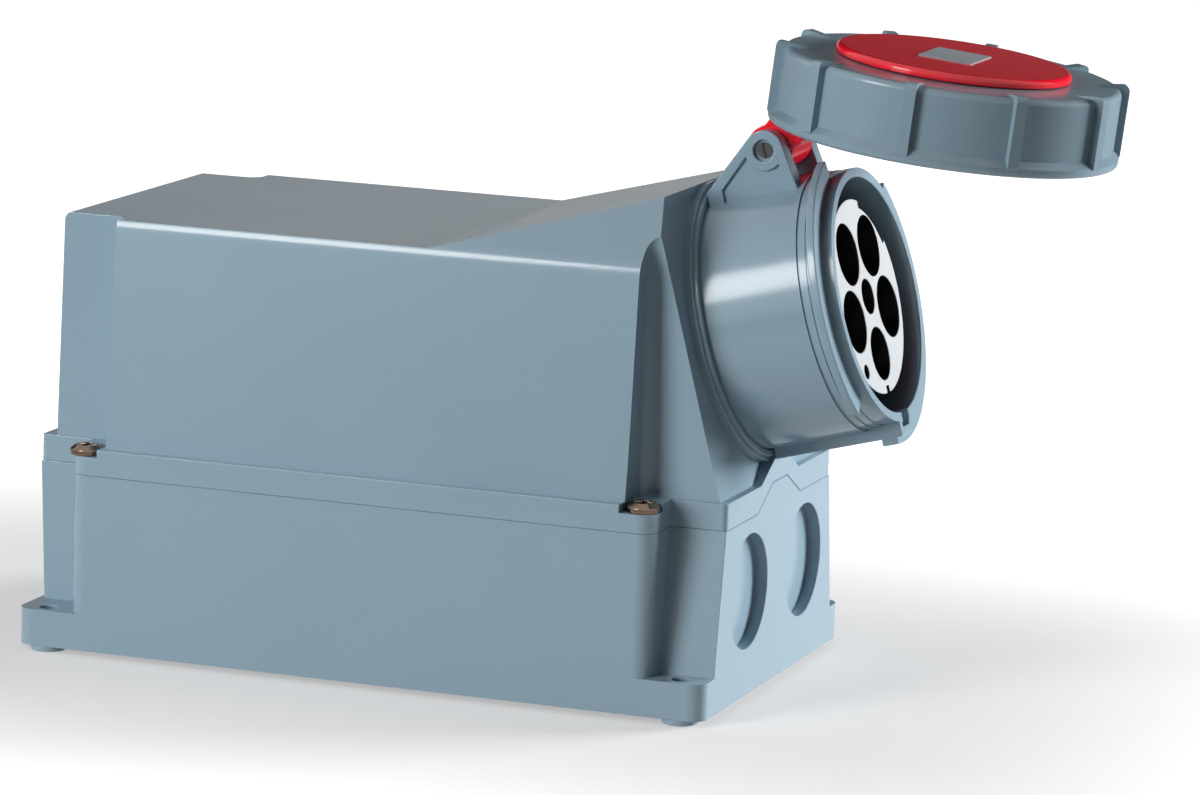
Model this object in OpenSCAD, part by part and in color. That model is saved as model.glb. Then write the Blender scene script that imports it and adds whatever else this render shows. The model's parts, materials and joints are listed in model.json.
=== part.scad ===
// Wall-mounted industrial pin-and-sleeve socket with a sloped barrel, hinged lid and bayonet ring

/* [Wall base] */
// Length of the base over its feet
base_len = 257; // [235:1:300]
// Width of the base over its long walls
base_w = 155; // [145:1:180]
// Height of the joint between base and cover above the wall
seam_z = 65; // [62:1:72]
// Thickness of the base's long walls
base_wall = 3.5; // [2.5:0.5:5]
// Thickness of the base's end walls
end_wall = 6; // [5.5:0.5:8]
// Thickness of the floor
floor_t = 3.5; // [2.5:0.5:6]
// Height of the pads under the feet
pad_h = 2; // [1:0.5:4]
// Diameter of the pads under the feet
pad_d = 13; // [10:0.5:13]
// Height of the corner feet
foot_h = 13; // [8:0.5:20]
// Length of each corner notch along the base
notch_len = 20; // [16:0.5:28]
// Depth of the front corner notches at the foot
notch_foot = 12; // [10:0.5:18]
// Lean of the rear wall from the foot up to the joint
rear_step = 2; // [0.5:0.5:4]
// Rounding of the upright corners
corner_r = 6; // [3:0.5:7]

/* [Wall fixing] */
// Inset of the fixing holes from the ends of the base
fix_inset_x = 10; // [8:0.5:14]
// Inset of the fixing holes from the sides of the base
fix_inset_y = 6.5; // [6.5:0.5:8.5]
// Diameter of the fixing holes
fix_d = 6.5; // [4.5:0.5:8]

/* [Cable entries] */
// Diameter of a blind cable entry
entry_d = 40.5; // [20:0.5:44]
// Spacing of the two entries
entry_dy = 61; // [48:1:72]
// Height of the entries above the wall
entry_z = 39; // [36:0.5:43]
// Depth of the entry pockets
entry_depth = 4.4; // [2:0.2:5]

/* [Cover hood] */
// Height of the cover flange
flange_h = 9.5; // [7:0.5:12]
// Ledge of the flange beside the long walls
flange_ledge = 4; // [3:0.5:6]
// Ledge of the flange behind the rear wall
rear_ledge = 5.4; // [3:0.2:8]
// Wall of the hood
hood_wall = 3.5; // [2.5:0.5:4.5]
// Height of the flat roof above the wall
roof_z = 154.8; // [148:0.2:160]
// Height of the shoulder line below the roof
shoulder_drop = 0.3; // [0.2:0.1:3]
// Rounding of the shoulder
shoulder_r = 9; // [3:0.5:14]
// Lean of each long wall up to the shoulder
side_lean = 6; // [3:0.5:8]
// Lean of the rear wall up to the roof
rear_lean = 1.6; // [1:0.2:6]
// Inward run of the shoulder for each millimetre of height
shoulder_run = 1; // [0.7:0.05:1.2]
// Length of the flange ledge that carries the cover screws
screw_ledge = 11.5; // [11:0.5:16]
// Half width of the narrow end columns
column_half = 57.5; // [52:0.5:64]
// Ledge of the flange beside the end columns
column_ledge = 1; // [0.5:0.5:4]
// Thickness of the sloped front wall
front_wall = 6; // [4:0.5:8]
// Rise of the joint in the middle of the front end
hump_h = 8.5; // [4:0.5:12]
// Half width of that rise at its foot
hump_half = 24; // [18:1:30]
// Half width of that rise at its top
hump_top_half = 8; // [5:1:14]

/* [Cover screws] */
// Inset of the cover screws from the ends of the wide part
screw_end = 4.7; // [3:0.1:6]
// Offset of the cover screws towards the rear
screw_shift = 1.2; // [0:0.2:1.6]
// Inset of the cover screws from the sides of the base
screw_inset = 6.5; // [5:0.1:8]
// Thread diameter of the cover screws
screw_d = 5; // [4:0.5:6]
// Head diameter of the cover screws
screw_head_d = 12; // [9:0.5:12.5]
// Depth of the screw seats below the top of the flange
seat_depth = 2.8; // [2:0.2:4]

/* [Socket barrel] */
// Upward tilt of the barrel
tilt = 15.4; // [12:0.2:18]
// Distance of the rim centre from the front of the base
rim_out = 33; // [28:0.5:42]
// Height of the rim centre above the wall
rim_z = 141.8; // [138:0.2:148]
// Inner diameter of the barrel
bore_d = 82.8; // [80:0.2:90]
// Wall of the front shroud
shroud_wall = 3.3; // [2.5:0.1:4.5]
// Step from the shroud to the barrel
barrel_step = 1.3; // [0.8:0.1:2]
// Reach of the bayonet lugs over the shroud
lug_reach = 7.5; // [6:0.1:9]
// Setback of the left lug behind the rim
lug_back = 3.6; // [3:0.2:5]
// Lead of the right lug over the left one
lug_lead = 1.4; // [0.8:0.1:2]
// Thickness of the lugs along the barrel
lug_t = 3; // [2:0.1:3.8]
// Distance of the hood's front face behind the rim
face_back = 52.5; // [48:0.5:60]
// Height of the ramp above the barrel
ramp_rise = 4.2; // [4:0.1:7]
// Width of the collar round the barrel
collar_w = 3.7; // [3:0.1:5]
// Width of the keyway
key_w = 7.6; // [5:0.2:10]
// Depth of the keyway
key_depth = 5; // [3:0.2:6]

/* [Contacts] */
// Diameter of the contact carrier
carrier_d = 68.6; // [66:0.2:71]
// Recess of the carrier behind the rim
carrier_back = 4; // [2:0.5:10]
// Diameter of the circle that the contacts stand on
contact_circle = 40.6; // [38.4:0.2:44]
// Diameter of the live holes in the carrier's face
live_hole_d = 21.8; // [16:0.2:22.4]
// Diameter of the earth hole in the carrier's face
earth_hole_d = 18.7; // [16.8:0.1:21]
// Diameter of the pilot hole in the carrier's face
pilot_hole_d = 12.4; // [10.8:0.2:14]
// Depth of the wide holes in the carrier's face
hole_depth = 15; // [8:0.5:24]
// Diameter of the live pins
live_pin_d = 10; // [6:0.5:10.5]
// Diameter of the earth pin
earth_pin_d = 12; // [8:0.5:13]
// Diameter of the pilot pin
pilot_pin_d = 6; // [4:0.5:7]
// Wall of the contact sleeves
sleeve_wall = 2.2; // [1.2:0.1:2.6]
// Length of the pin bores
pin_len = 42; // [30:1:46]

/* [Lid and ring] */
// Swing of the lid from closed to the open rest position
lid_open = 68.6; // [50:0.2:95]
// Distance of the hinge behind the rim
hinge_back = 23.9; // [22:0.1:28]
// Height of the hinge above the barrel
hinge_rise = 11.5; // [11:0.1:14]
// Diameter of the hinge pin
pin_d = 5.6; // [4:0.2:7]
// Width of the hinge arm between the ears
arm_w = 22; // [16:0.5:26]
// Thickness of each ear
ear_t = 6.7; // [5:0.1:9]
// Wall of the ring between its skirt and its panels
ring_wall = 3.6; // [2.5:0.1:6]
// Height of the ribs over the panels
rib_h = 2.7; // [1:0.1:4]
// Number of ribs
rib_n = 10; // [6:1:16]
// Width of a rib
rib_w = 4; // [3:0.5:8]
// Turn of the rib pattern
rib_phase = 21; // [0:1:59]
// Rise of the ribs over the ring's top
rib_rise = 1.4; // [0.4:0.1:2.5]
// Length of the ribs over the ring's top
rib_run = 12; // [6:0.5:13]
// Clear space between the lugs and the ring's skirt
ring_clear = 2.6; // [2.4:0.1:5]
// Reach of the ring behind the rim, when closed
ring_back = 12.1; // [11.6:0.1:16]
// Reach of the ring in front of the rim, when closed
ring_front = 14.4; // [13.5:0.1:18]
// Diameter of the red disc
disc_d = 81.4; // [70:0.2:92]
// Height of the red disc over the ring
disc_h = 3; // [2:0.2:6]
// Length of the label on the disc
label_l = 19; // [10:0.5:28]
// Width of the label on the disc
label_w = 25; // [12:0.5:36]

/* [Hidden] */
$fn = 96;

// Colours
housing_grey = "#7f97a3";
lid_red = "#d8131f";
carrier_white = "#eef2f2";
rubber_black = "#202224";
steel_grey = "#b9b4ae";
brass_yellow = "#c2a04a";
label_grey = "#9aa0a2";

// Clearances
eps = 0.01;
cut = 1;
press = 0.02;
turning = 0.05;
fit = 0.1;
gap = 0.3;
slide = 0.4;

// Base
half_len = base_len / 2;
half_w = base_w / 2;
foot_z = pad_h + foot_h;
main_half = half_len - notch_len;
end_top_half = column_half + column_ledge;
end_foot_half = half_w - notch_foot;
fix_x = half_len - fix_inset_x;
fix_y = half_w - fix_inset_y;
rim_w = flange_ledge + hood_wall;
rim_depth = 11;
groove_w = 2.4;
groove_depth = 3;
groove_in = 1;
hood_main_half = main_half - screw_ledge;
cavity_main = hood_main_half - hood_wall;
cavity_end = column_half - hood_wall;
cavity_len = half_len - end_wall - hood_wall;
hump_t = 4.5;
end_r = 2;
cavity_r = 2;
gasket_r = 4;

// Cover screws
screw_x = main_half - screw_end;
screw_y = half_w - screw_inset;
insert_h = 10;
insert_d = screw_d + 2.4;
screw_hole_depth = 16;
screw_len = 17;
screw_head_h = 3.4;
seat_r = screw_head_d / 2 + 0.5;

// Hood
flange_z = seam_z + flange_h;
seat_z = flange_z - seat_depth;
wall_half = half_w - flange_ledge;
shoulder_z = roof_z - shoulder_drop;
hood_rear = half_len - rear_ledge;
roof_r = 3;
column_r = 4;
valley_r = 5;
cover_hump_in = 3;

// Barrel, along its axis from the rim
rim_x = half_len + rim_out;
bore_r = bore_d / 2;
shroud_r = bore_r + shroud_wall;
barrel_r = shroud_r + barrel_step;
ramp_h = barrel_r + ramp_rise;
lug_r = shroud_r + lug_reach;
lug_end = -lug_back - lug_t;
step_len = 3;
face_s = -face_back;
wall_s = face_s - front_wall;
seal_t = 1;
flange_s = wall_s - seal_t;
flange_t = 4;
barrel_end = flange_s - flange_t;
web_t = 4;
web_s = face_s + 2.5;
web_back = web_s - web_t;
collar_h = 3;
collar_lip = 1.4;
mouth_r = barrel_r + gap;
collar_r = mouth_r + collar_w;
flange_half = cavity_end - slide;
flange_top = ramp_h - hood_wall - slide;
flange_low = barrel_r + 8;
flange_r = barrel_r + 10;
bolt_half = (flange_r - 4.5) / sqrt(2);
bolt_d = 4;
bolt_head_d = 7.6;
bolt_head_h = 2.6;
bolt_bite = 4;
ridge_half = key_w / 2 + 3;
ridge_low = barrel_r + 3.4;
ridge_s = face_s + collar_h + 2;
stop_t = 5.8;
lug_left = [226, 343];
lug_right = [47, 180];
lug_stop = [172, 188];

// Contacts, along the barrel axis
carrier_r = carrier_d / 2;
carrier_s = -carrier_back;
carrier_end = web_back - 8;
lip_t = 4;
lip_r = bore_r - 1.9;
circle_r = contact_circle / 2;
sleeve_s = carrier_s - hole_depth;
collar_t = 4;
collar_extra = 1.8;
pilot_collar = 1.1;
plate_t = 10;
plate_s = carrier_end - fit;
plate_end = carrier_end - plate_t;
tail_len = 20;
tail_end = plate_end - tail_len;
contact_clock = [324, 36, 108, 252, 180];
live_r = live_pin_d / 2 + sleeve_wall;
earth_r = earth_pin_d / 2 + sleeve_wall;
pilot_r = pilot_pin_d / 2 + sleeve_wall;
wire_depth = 15;
grub_s = tail_end + 7;
grub_d = 5;
grub_out = 2;
grub_slot = 0.8;
small_screw_d = 3;
small_head_d = 5;
small_head_h = 1.8;
retainer_clock = [0, 144, 216];
retainer_ring = carrier_r - 4.6;
retainer_bite = 8;
lip_clock = [90, 210, 330];
lip_ring = (carrier_r + lip_r) / 2 + slide;
vent_hole_d = 5;
vent_place = [24, -18.6];
vent_depth = 8;
notch_w = 3;
notch_d = 2.5;
notch_s = carrier_s - 10;
relief_clock = [18, 62];
relief_d = 2.6;
relief_s = carrier_s - 12;

// Lid and ring, along the barrel axis in the closed position
hinge_s = -hinge_back;
hinge_h = barrel_r + hinge_rise;
ear_in = arm_w / 2 + gap;
ear_out = ear_in + ear_t;
boss_r = pin_d / 2 + 4.2;
ear_front = -14;
ear_rear = face_s + collar_h + collar_lip + 0.5;
ear_sink = barrel_r - 8;
panel_sink = 1.2;
panel_border = 3.6;
recess_r = pin_d / 2 + 1;
recess_t = 1.8;
pin_slot = 0.9;
ring_in = lug_r + ring_clear;
panel_r = ring_in + ring_wall;
ring_r = panel_r + rib_h;
ring_top_t = 4;
hub_r = disc_d / 2 - 4;
ring_hole_r = hub_r + slide;
ring_round = 2.4;
rib_sink = 1.5;
rib_round = 2;
band_drop = 0.5;
band_r = ring_r - band_drop;
band_lip = 0.5;
band_h = rib_h + band_lip;
band_round = band_h * 0.6;
band_top = -ring_back + band_h;
claw_r = shroud_r + 2.7;
claw_t = 4;
claw_gap = 0.9;
claw_s = lug_end - claw_gap - claw_t;
claw_a = [14, 40];
claw_b = [194, 220];
lid_top = ring_front - ring_top_t - gap;
lid_t = 6.4;
lid_low = lid_top - lid_t;
lid_r = claw_r - 0.6;
seal_low = gap;
seal_sink = 1.2;
seal_out = lid_r - 0.8;
seal_in = bore_r - 2;
neck_half = 6;
neck_low = barrel_r + 0.6;
neck_high = ring_in - 0.7;
arm_r = boss_r + 1.3;
arm_front = -ring_back - 0.6;
arm_rear = hinge_s + 4;
arm_high = hinge_h + 1;
disc_low = ring_front + gap;
disc_top = disc_low + disc_h;
disc_edge = disc_h * 0.6;
label_t = 0.4;
lid_screw_ring = 26;
lid_screw_d = 4;
lid_screw_head_d = 7;
lid_screw_head_h = 2;
lid_screw_bite = 4;
lid_screw_clock = [60, 180, 300];

// A point given along and above the barrel axis, as x and z of the whole part
function side_point(s, h) =
    [rim_x + s * cos(tilt) - h * sin(tilt), rim_z + s * sin(tilt) + h * cos(tilt)];

// Distance along the barrel axis at which a line parallel to it reaches a height above the wall
function axis_at_height(z, h) = (z - rim_z - h * cos(tilt)) / sin(tilt);

// Height above the barrel axis at which a plane across it reaches a height above the wall
function across_at_height(z, s) = (z - rim_z - s * sin(tilt)) / cos(tilt);

// Points of an arc
function arc(centre, r, from, to, n = 8) =
    [for (i = [0:n]) centre + r * [cos(from + (to - from) * i / n), sin(from + (to - from) * i / n)]];

// Points that round the corner b between a and c
function unit(v) = v / norm(v);
function round_corner(a, b, c, r) =
    let (u = unit(a - b), v = unit(c - b), half = acos(u * v) / 2,
         centre = b + unit(u + v) * r / sin(half), p = b + u * r / tan(half) - centre,
         turn = sign(u[0] * v[1] - u[1] * v[0]) * (180 - 2 * half), start = atan2(p[1], p[0]))
    arc(centre, r, start, start - turn);

// A place on the socket's face by clock angle, seen from the front
function clock(a, r) = [-r * cos(a), r * sin(a)];

// Places its children in the socket frame: z out of the mouth, -x towards the hinge
module at_socket() {
    translate([rim_x, 0, rim_z]) rotate([0, 90 - tilt, 0]) children();
}

// Swings its children, drawn closed in the socket frame, to the open rest position
module at_lid() {
    at_socket()
        translate([-hinge_h, 0, hinge_s])
            rotate([0, -lid_open, 0])
                translate([hinge_h, 0, -hinge_s]) children();
}

// Places its children on the hinge axis, with z along it
module at_hinge() {
    translate([-hinge_h, 0, hinge_s]) rotate([90, 0, 0]) children();
}

// Repeats its children on a circle at the given clock angles
module around(angles, r) {
    for (a = angles) translate(concat(clock(a, r), [0])) children();
}

// Repeats its children in the four corners
module four_corners(x, y) {
    for (i = [-1, 1], j = [-1, 1]) translate([i * x, j * y, 0]) children();
}

// Repeats its children at the cover screws
module at_cover_screws() {
    translate([-screw_shift, 0, 0]) four_corners(screw_x, screw_y) children();
}

// A rectangle with round corners about the origin
module round_rect(hx, hy, r) {
    square([2 * hx, 2 * (hy - r)], center = true);
    square([2 * (hx - r), 2 * hy], center = true);
    for (x = [-1, 1], y = [-1, 1]) translate([x * (hx - r), y * (hy - r)]) circle(r);
}

// A plan of two crossed rectangles: wide in the middle, narrow at the ends
module cross_plan(wide_x, wide_y, narrow_x, narrow_y, wide_r, narrow_r) {
    round_rect(wide_x, wide_y, wide_r);
    round_rect(narrow_x, narrow_y, narrow_r);
}

// A plate across the part from an outline drawn in a side view
module side_plate(from, to) {
    translate([0, to, 0]) rotate([90, 0, 0]) linear_extrude(to - from) children();
}

// A bar along the part from an outline drawn in an end view
module end_plate(from, to) {
    translate([from, 0, 0]) rotate([90, 0, 90]) linear_extrude(to - from) children();
}

// A wedge between two clock angles
module clock_wedge(range, r, low, high) {
    steps = 12;
    rim = [for (i = [0:steps]) clock(range[0] + (range[1] - range[0]) * i / steps, r)];
    translate([0, 0, low]) linear_extrude(high - low) polygon(concat([[0, 0]], rim));
}

// A rod between two places along the axis
module rod(r, low, high) {
    translate([0, 0, low]) cylinder(r = r, h = high - low);
}

// A ring of rectangular section
module tube(r_out, r_in, low, high) {
    difference() {
        rod(r_out, low, high);
        rod(r_in, low - cut, high + cut);
    }
}

// A pan-head screw that points down from z = 0, with a cross in its head
module pan_screw(d, head, head_h, len) {
    slot_w = head * 0.14;
    slot_l = head * 0.56;
    rim_h = head_h * 0.55;
    difference() {
        union() {
            rod(d / 2, -len, eps);
            rod(head / 2, 0, rim_h);
            translate([0, 0, rim_h]) cylinder(r1 = head / 2, r2 = head * 0.34, h = head_h - rim_h);
        }
        translate([-slot_l / 2, -slot_w / 2, head_h * 0.4]) cube([slot_l, slot_w, head_h]);
        translate([-slot_w / 2, -slot_l / 2, head_h * 0.4]) cube([slot_w, slot_l, head_h]);
    }
}

// The trapezoid by which the joint rises in the middle of the front end
module hump(rise, narrow, grow) {
    foot = hump_half - narrow + grow;
    top = hump_top_half - narrow + grow;
    low = rise - hump_h;
    end_plate(half_len - hump_t - grow, half_len + grow)
        polygon([[-foot, low - cut], [-foot, low], [-top, rise],
                 [top, rise], [foot, low], [foot, low - cut]]);
}

// The front end of the base, wider at the foot than at the joint
module front_end(inset, length, low, high) {
    lean = (end_foot_half - end_top_half) / (seam_z - foot_z);
    low_half = end_foot_half - inset - lean * (low - foot_z);
    high_half = end_foot_half - inset - lean * (high - foot_z);
    end_plate(0, length)
        polygon([[-low_half, low], [low_half, low], [high_half, high], [-high_half, high]]);
}

// The rear end of the base, with a wall that leans out towards the joint
module rear_end(inset, length, low, high) {
    half = end_top_half - inset;
    lean = rear_step / (seam_z - foot_z);
    low_x = -length + lean * (seam_z - low);
    high_x = -length + lean * (seam_z - high);
    side_plate(-half, half) polygon([[0, low], [0, high], [high_x, high], [low_x, low]]);
}

module base_shell() {
    low = pad_h + floor_t;
    translate([0, 0, pad_h]) linear_extrude(foot_h) round_rect(half_len, half_w, corner_r);
    translate([0, 0, pad_h]) linear_extrude(seam_z - pad_h) round_rect(main_half, half_w, corner_r);
    front_end(0, half_len, low, seam_z);
    rear_end(0, half_len, low, seam_z);
    hump(seam_z + hump_h, 0, 0);
    four_corners(fix_x, fix_y) cylinder(d = pad_d, h = pad_h + eps);
}

module base_cavity() {
    low = pad_h + floor_t;
    rim_low = seam_z - rim_depth;
    translate([0, 0, low]) linear_extrude(rim_low - low)
        round_rect(cavity_main, half_w - base_wall, cavity_r);
    front_end(base_wall, half_len - end_wall, low, rim_low);
    rear_end(base_wall, half_len - end_wall, low, rim_low);
    translate([0, 0, rim_low - eps]) linear_extrude(rim_depth + cut)
        cross_plan(cavity_main, half_w - rim_w, cavity_len, cavity_end, cavity_r, cavity_r);
}

// Outline of one edge of the gasket
module gasket_outline(wide_x, wide_y, narrow_x, narrow_y) {
    cross_plan(wide_x, wide_y, narrow_x, narrow_y, gasket_r, gasket_r);
}

// Plan of the gasket's path round the rim, set in from the walls of its groove
module gasket_plan(inset) {
    near = groove_in + inset;
    far = groove_in + groove_w - inset;
    rim_half = half_w - rim_w;
    difference() {
        gasket_outline(cavity_main + far, rim_half + far, cavity_len + far, cavity_end + far);
        gasket_outline(cavity_main + near, rim_half + near, cavity_len + near, cavity_end + near);
    }
}

module base_box() {
    color(housing_grey) difference() {
        base_shell();
        base_cavity();
        translate([0, 0, seam_z - groove_depth]) linear_extrude(groove_depth + cut) gasket_plan(0);
        four_corners(fix_x, fix_y) rod(fix_d / 2, -cut, foot_z + cut);
        at_cover_screws() rod(insert_d / 2, seam_z - insert_h, seam_z + cut);
        at_cover_screws() rod(screw_d / 2 + fit, seam_z - screw_hole_depth, seam_z);
        for (y = [-1, 1]) translate([half_len - entry_depth, y * entry_dy / 2, entry_z])
            rotate([0, 90, 0]) cylinder(d = entry_d, h = entry_depth + cut);
    }
}

// Side outline of the hood, set in by a wall
module hood_side(low, wall, front) {
    roof = roof_z - wall;
    ramp = ramp_h - wall;
    slope = rear_lean / (roof_z - flange_z);
    rear = -hood_rear + wall;
    rear_low = [rear + slope * (low - flange_z), low];
    rear_top = [rear + slope * (roof - flange_z), roof];
    fold = side_point(axis_at_height(roof, ramp), ramp);
    neck = side_point(face_s - front, ramp);
    foot = side_point(face_s - front, across_at_height(low, face_s - front));
    polygon(concat([rear_low], round_corner(rear_low, rear_top, fold, roof_r), [fold, neck, foot]));
}

// Cross outline of the hood, set in by a wall
module hood_section(low, wall) {
    slope = side_lean / (shoulder_z - flange_z);
    top_z = rim_z + barrel_r;
    edge_z = shoulder_z - wall * 0.4;
    foot = [wall_half - wall - slope * (low - flange_z), low];
    edge = [wall_half - wall - slope * (edge_z - flange_z), edge_z];
    top = [edge[0] - shoulder_run * (top_z - edge_z), top_z];
    right = concat([foot], round_corner(foot, edge, top, shoulder_r), [top]);
    left = [for (i = [len(right) - 1:-1:0]) [-right[i][0], right[i][1]]];
    polygon(concat(right, left));
}

// A hollow fillet in the corner between the wide part and an end column
module valley(r) {
    difference() {
        square([r, r]);
        translate([r, r]) circle(r);
    }
}

// Plan of the hood's walls
module hood_plan(wall) {
    cross_plan(hood_main_half - wall, half_w - wall, half_len - wall, column_half - wall,
               corner_r, column_r);
    for (i = [-1, 1], j = [-1, 1]) scale([i, j])
        translate([hood_main_half - wall, column_half - wall]) valley(valley_r);
}

module hood_block(low, wall, front) {
    intersection() {
        side_plate(-half_w, half_w) hood_side(low, wall, front);
        end_plate(-half_len, half_len) hood_section(low, wall);
        linear_extrude(roof_z + barrel_r) hood_plan(wall);
    }
}

// A screw seat, open towards the near side
module seat() {
    translate([0, 0, seat_z]) linear_extrude(seat_depth + eps) {
        circle(seat_r);
        translate([-seat_r, 0]) square([2 * seat_r, 2 * seat_r]);
    }
}

module cover_hood() {
    color(housing_grey) difference() {
        union() {
            translate([0, 0, seam_z]) linear_extrude(flange_h)
                cross_plan(main_half, half_w, half_len, end_top_half, corner_r, end_r);
            hood_block(flange_z - eps, 0, 0);
            hump(flange_z + hump_h, cover_hump_in, 0);
            at_socket() rod(collar_r, face_s - eps, face_s + collar_h);
            at_socket() rod(collar_r - collar_lip, face_s, face_s + collar_h + collar_lip);
        }
        hood_block(seam_z - cut, hood_wall, front_wall);
        hump(seam_z + hump_h + fit, 0, fit);
        at_socket() rod(mouth_r, wall_s - cut, face_s + 3 * collar_h);
        at_socket() four_corners(bolt_half, bolt_half)
            rod(bolt_d / 2 - fit, wall_s - cut, wall_s + bolt_bite + gap);
        for (j = [-1, 1], i = [-1, 1]) translate([i * screw_x - screw_shift, j * screw_y, 0]) {
            scale([1, j, 1]) seat();
            rod(screw_d / 2 + fit, seam_z - cut, flange_z);
        }
    }
}

module cover_gasket() {
    color(rubber_black) translate([0, 0, seam_z - groove_depth + eps])
        linear_extrude(groove_depth - eps) gasket_plan(fit);
}

module cover_screws() {
    color(steel_grey) at_cover_screws() translate([0, 0, seat_z])
        pan_screw(screw_d - 2 * fit, screw_head_d, screw_head_h, screw_len);
}

module threaded_inserts() {
    color(brass_yellow) at_cover_screws()
        tube(insert_d / 2 - press, screw_d / 2, seam_z - insert_h, seam_z - gap);
}

// Outline of the barrel's inner flange, flat at the top to clear the roof
module flange_outline() {
    intersection() {
        circle(flange_r);
        translate([-flange_top, -flange_half]) square([flange_top + flange_low, 2 * flange_half]);
    }
}

// Outline of an ear in a side view of the socket
module ear_outline(inset) {
    r = boss_r - inset;
    rear = ear_rear + 1.6 * inset;
    low = ear_sink + inset;
    top = barrel_r + 1;
    reach = norm([hinge_h - top, hinge_s - rear]);
    angle = atan2(hinge_h - top, hinge_s - rear) + asin(r / reach);
    polygon([[-low, ear_front - inset], [-low, rear], [-top, rear],
             [-hinge_h - r * cos(angle), hinge_s - r * sin(angle)], [-hinge_h, hinge_s + r]]);
    translate([-hinge_h, hinge_s]) circle(r);
}

// An ear on one side, with a sunk panel below its boss
module ear() {
    difference() {
        side_plate(ear_in, ear_out) ear_outline(0);
        side_plate(ear_out - panel_sink, ear_out + cut) difference() {
            ear_outline(panel_border);
            translate([-hinge_h, hinge_s]) circle(boss_r);
        }
    }
}

// A bayonet lug between two clock angles
module lug(range, front, thick) {
    intersection() {
        tube(lug_r, shroud_r - cut, front - thick, front);
        clock_wedge(range, 2 * lug_r, front - thick - cut, front + cut);
    }
}

module barrel_shell() {
    rod(shroud_r, lug_end, 0);
    rod(shroud_r + barrel_step / 4, lug_end - step_len, lug_end + eps);
    rod(shroud_r + barrel_step / 2, lug_end - 2 * step_len, lug_end - step_len + eps);
    rod(barrel_r, barrel_end, lug_end - 2 * step_len + eps);
    translate([0, 0, barrel_end]) linear_extrude(flange_t) flange_outline();
    lug(lug_left, -lug_back, lug_t);
    lug(lug_right, lug_lead - lug_back, lug_t);
    lug(lug_stop, lug_lead - lug_back, stop_t);
    translate([shroud_r - 2, -ridge_half, ridge_s])
        cube([ridge_low - shroud_r + 2, 2 * ridge_half, -ridge_s - gap]);
    ear();
    mirror([0, 1, 0]) ear();
}

module socket_barrel() {
    color(housing_grey) at_socket() difference() {
        barrel_shell();
        rod(bore_r, web_s, cut);
        rod(bore_r, barrel_end - cut, web_back);
        rod(carrier_r + fit, web_back - cut, web_s + cut);
        translate([bore_r - 2, -key_w / 2, web_s + 2]) cube([key_depth + 2, key_w, -web_s]);
        around(lip_clock, lip_ring) rod(small_screw_d / 2 - fit, web_back - cut, web_s - gap);
        four_corners(bolt_half, bolt_half) rod(bolt_d / 2 + fit, barrel_end - cut, flange_s + cut);
        at_hinge() rod(pin_d / 2, -ear_out - cut, ear_out + cut);
        at_hinge() rod(recess_r, ear_out - recess_t, ear_out + cut);
    }
}

module barrel_gasket() {
    color(rubber_black) at_socket() translate([0, 0, flange_s]) linear_extrude(seal_t) difference() {
        flange_outline();
        circle(mouth_r + gap);
        for (x = [-1, 1], y = [-1, 1]) translate([x * bolt_half, y * bolt_half]) circle(bolt_d / 2 + fit);
    }
}

module barrel_screws() {
    color(steel_grey) at_socket() four_corners(bolt_half, bolt_half)
        translate([0, 0, barrel_end]) mirror([0, 0, 1])
            pan_screw(bolt_d - 4 * fit, bolt_head_d, bolt_head_h, flange_t + seal_t + bolt_bite);
}

// Radius of a contact's face hole, sleeve and pin, by its number
function face_r(i) = i < 4 ? live_hole_d / 2 : earth_hole_d / 2;
function sleeve_r(i) = i < 4 ? live_r : earth_r;
function pin_r(i) = i < 4 ? live_pin_d / 2 : earth_pin_d / 2;

// Places its children on the axis of a contact
module at_contact(i) {
    around([contact_clock[i]], circle_r) children();
}

module contact_carrier() {
    color(carrier_white) at_socket() difference() {
        union() {
            rod(carrier_r, carrier_end, carrier_s);
            rod(lip_r, web_back - lip_t, web_back);
        }
        for (i = [0:4]) at_contact(i) rod(face_r(i), sleeve_s, cut);
        for (i = [0:4]) at_contact(i) rod(sleeve_r(i) + fit, carrier_end - cut, sleeve_s + eps);
        rod(pilot_hole_d / 2, sleeve_s, cut);
        rod(pilot_r + fit, carrier_end - cut, sleeve_s + eps);
        translate(concat(vent_place, [0])) rod(vent_hole_d / 2, carrier_s - vent_depth, cut);
        translate([carrier_r - notch_d, -notch_w / 2, notch_s]) cube([2 * notch_d, notch_w, -notch_s]);
        difference() {
            clock_wedge(relief_clock, 2 * carrier_r, relief_s, cut);
            rod(carrier_r - relief_d, relief_s - cut, 2 * cut);
        }
        around(retainer_clock, retainer_ring)
            rod(small_screw_d / 2 - fit, carrier_end - cut, carrier_end + retainer_bite + gap);
        around(lip_clock, lip_ring) rod(small_screw_d / 2 + fit, carrier_end - cut, web_s);
    }
}

module carrier_screws() {
    color(steel_grey) at_socket() around(lip_clock, lip_ring)
        translate([0, 0, web_back - lip_t]) mirror([0, 0, 1])
            pan_screw(small_screw_d - 4 * fit, small_head_d, small_head_h, lip_t + web_t - 2 * gap);
}

module retainer_plate() {
    pocket_s = plate_s - collar_t - fit;
    color(carrier_white) at_socket() difference() {
        rod(carrier_r, plate_end, plate_s);
        for (i = [0:4]) at_contact(i) rod(sleeve_r(i) + fit, plate_end - cut, plate_s);
        for (i = [0:4]) at_contact(i) rod(sleeve_r(i) + collar_extra + fit, pocket_s, plate_s + cut);
        rod(pilot_r + fit, plate_end - cut, plate_s);
        rod(pilot_r + pilot_collar + fit, pocket_s, plate_s + cut);
        around(retainer_clock, retainer_ring) rod(small_screw_d / 2 + fit, plate_end - cut, plate_s + cut);
    }
}

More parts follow.
